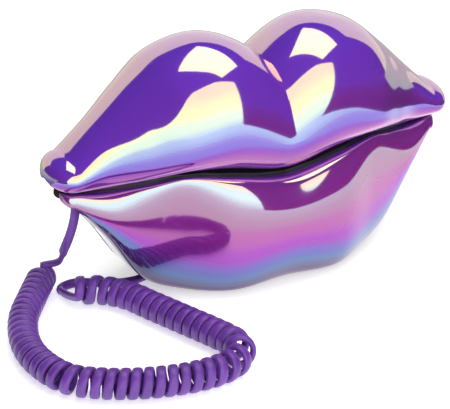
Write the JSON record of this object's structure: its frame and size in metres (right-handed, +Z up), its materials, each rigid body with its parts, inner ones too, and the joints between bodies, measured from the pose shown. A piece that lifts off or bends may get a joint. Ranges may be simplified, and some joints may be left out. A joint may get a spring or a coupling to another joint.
{
  "type": "novelty shaped telephone",
  "caption": "Corded desk telephone shaped like a pair of lips: the upper lip lifts off as the handset with its keypad, the lower lip is the base.",
  "frame": {"origin": "on the table, under the middle of the phone's own box without its handset cord", "axes": "+X along the mouth to the viewer's right, -Y towards the pouting front, +Z up"},
  "size_m": [0.2537, 0.1457, 0.1194],
  "materials": {
    "violet_shell": "high-gloss iridescent lacquer, violet to plum",
    "black_plastic": "fine matte moulded black",
    "key_plastic": "satin charcoal",
    "cord_vinyl": "satin purple vinyl",
    "black_rubber": "matte rubber",
    "grey_rubber": "soft silicone",
    "circuit_board": "green solder mask",
    "steel": "plain zinc-plated steel",
    "brass": "plain brass"
  },
  "bodies": {
    "base": {"base_front_shell": "violet_shell", "base_back_cover": "black_plastic", "base_deck": "black_plastic", "base_bottom_cover": "black_plastic", "rubber_foot_1": "black_rubber", "rubber_foot_2": "black_rubber", "rubber_foot_3": "black_rubber", "rubber_foot_4": "black_rubber", "base_screw_1": "steel", "base_screw_2": "steel", "base_screw_3": "steel", "base_screw_4": "steel", "ballast_plate": "steel", "base_circuit_board": "circuit_board", "ringer_buzzer": "brass", "line_jack": "black_plastic", "hook_switch": "key_plastic", "hook_spring": "steel", "base_cord_relief": "cord_vinyl", "handset_cord_lead": "cord_vinyl", "handset_cord_coil": "cord_vinyl", "base_cord_lead": "cord_vinyl"},
    "handset": {"handset_shell": "violet_shell", "handset_faceplate": "black_plastic", "keypad_mat": "grey_rubber", "keypad_circuit_board": "circuit_board", "earpiece_receiver": "steel", "earpiece_gasket": "grey_rubber", "microphone_capsule": "steel", "microphone_boot": "grey_rubber", "handset_screw_1": "steel", "handset_screw_2": "steel", "handset_screw_3": "steel", "handset_screw_4": "steel", "handset_cord_relief": "cord_vinyl"},
    "key_1": {"key_1": "key_plastic"},
    "key_2": {"key_2": "key_plastic"},
    "key_3": {"key_3": "key_plastic"},
    "key_4": {"key_4": "key_plastic"},
    "key_5": {"key_5": "key_plastic"},
    "key_6": {"key_6": "key_plastic"},
    "key_7": {"key_7": "key_plastic"},
    "key_8": {"key_8": "key_plastic"},
    "key_9": {"key_9": "key_plastic"},
    "key_star": {"key_star": "key_plastic"},
    "key_0": {"key_0": "key_plastic"},
    "key_hash": {"key_hash": "key_plastic"},
    "key_redial": {"key_redial": "key_plastic"},
    "key_flash": {"key_flash": "key_plastic"},
    "key_mute": {"key_mute": "key_plastic"},
    "hook_plunger": {"hook_plunger": "black_plastic"},
    "ringer_switch": {"ringer_switch": "key_plastic"},
    "tone_pulse_switch": {"tone_pulse_switch": "key_plastic"}
  },
  "joints": [
    {"name": "handset_lift", "type": "slide", "parent": "base", "child": "handset", "axis": [0, 0, 1], "range_m": [0, 0.12]},
    {"name": "hook_plunger_slide", "type": "slide", "parent": "base", "child": "hook_plunger", "axis": [0, 0, 1], "range_m": [0, 0.004], "deforming": ["hook_spring"]},
    {"name": "key_1_press", "type": "slide", "parent": "handset", "child": "key_1", "axis": [0, 0, 1], "range_m": [0, 0.0012], "stiffness_N_per_m": 600},
    {"name": "key_2_press", "type": "slide", "parent": "handset", "child": "key_2", "axis": [0, 0, 1], "range_m": [0, 0.0012], "stiffness_N_per_m": 600},
    {"name": "key_3_press", "type": "slide", "parent": "handset", "child": "key_3", "axis": [0, 0, 1], "range_m": [0, 0.0012], "stiffness_N_per_m": 600},
    {"name": "key_4_press", "type": "slide", "parent": "handset", "child": "key_4", "axis": [0, 0, 1], "range_m": [0, 0.0012], "stiffness_N_per_m": 600},
    {"name": "key_5_press", "type": "slide", "parent": "handset", "child": "key_5", "axis": [0, 0, 1], "range_m": [0, 0.0012], "stiffness_N_per_m": 600},
    {"name": "key_6_press", "type": "slide", "parent": "handset", "child": "key_6", "axis": [0, 0, 1], "range_m": [0, 0.0012], "stiffness_N_per_m": 600},
    {"name": "key_7_press", "type": "slide", "parent": "handset", "child": "key_7", "axis": [0, 0, 1], "range_m": [0, 0.0012], "stiffness_N_per_m": 600},
    {"name": "key_8_press", "type": "slide", "parent": "handset", "child": "key_8", "axis": [0, 0, 1], "range_m": [0, 0.0012], "stiffness_N_per_m": 600},
    {"name": "key_9_press", "type": "slide", "parent": "handset", "child": "key_9", "axis": [0, 0, 1], "range_m": [0, 0.0012], "stiffness_N_per_m": 600},
    {"name": "key_star_press", "type": "slide", "parent": "handset", "child": "key_star", "axis": [0, 0, 1], "range_m": [0, 0.0012], "stiffness_N_per_m": 600},
    {"name": "key_0_press", "type": "slide", "parent": "handset", "child": "key_0", "axis": [0, 0, 1], "range_m": [0, 0.0012], "stiffness_N_per_m": 600},
    {"name": "key_hash_press", "type": "slide", "parent": "handset", "child": "key_hash", "axis": [0, 0, 1], "range_m": [0, 0.0012], "stiffness_N_per_m": 600},
    {"name": "key_redial_press", "type": "slide", "parent": "handset", "child": "key_redial", "axis": [0, 0, 1], "range_m": [0, 0.0012], "stiffness_N_per_m": 600},
    {"name": "key_flash_press", "type": "slide", "parent": "handset", "child": "key_flash", "axis": [0, 0, 1], "range_m": [0, 0.0012], "stiffness_N_per_m": 600},
    {"name": "key_mute_press", "type": "slide", "parent": "handset", "child": "key_mute", "axis": [0, 0, 1], "range_m": [0, 0.0012], "stiffness_N_per_m": 600},
    {"name": "ringer_switch_slide", "type": "slide", "parent": "base", "child": "ringer_switch", "axis": [1, 0, 0], "range_m": [0, 0.005]},
    {"name": "tone_pulse_slide", "type": "slide", "parent": "base", "child": "tone_pulse_switch", "axis": [1, 0, 0], "range_m": [0, 0.005]}
  ],
  "couplings": [
    {"joint": "hook_plunger_slide", "follows": "handset_lift", "ratio": 0.033333}
  ]
}
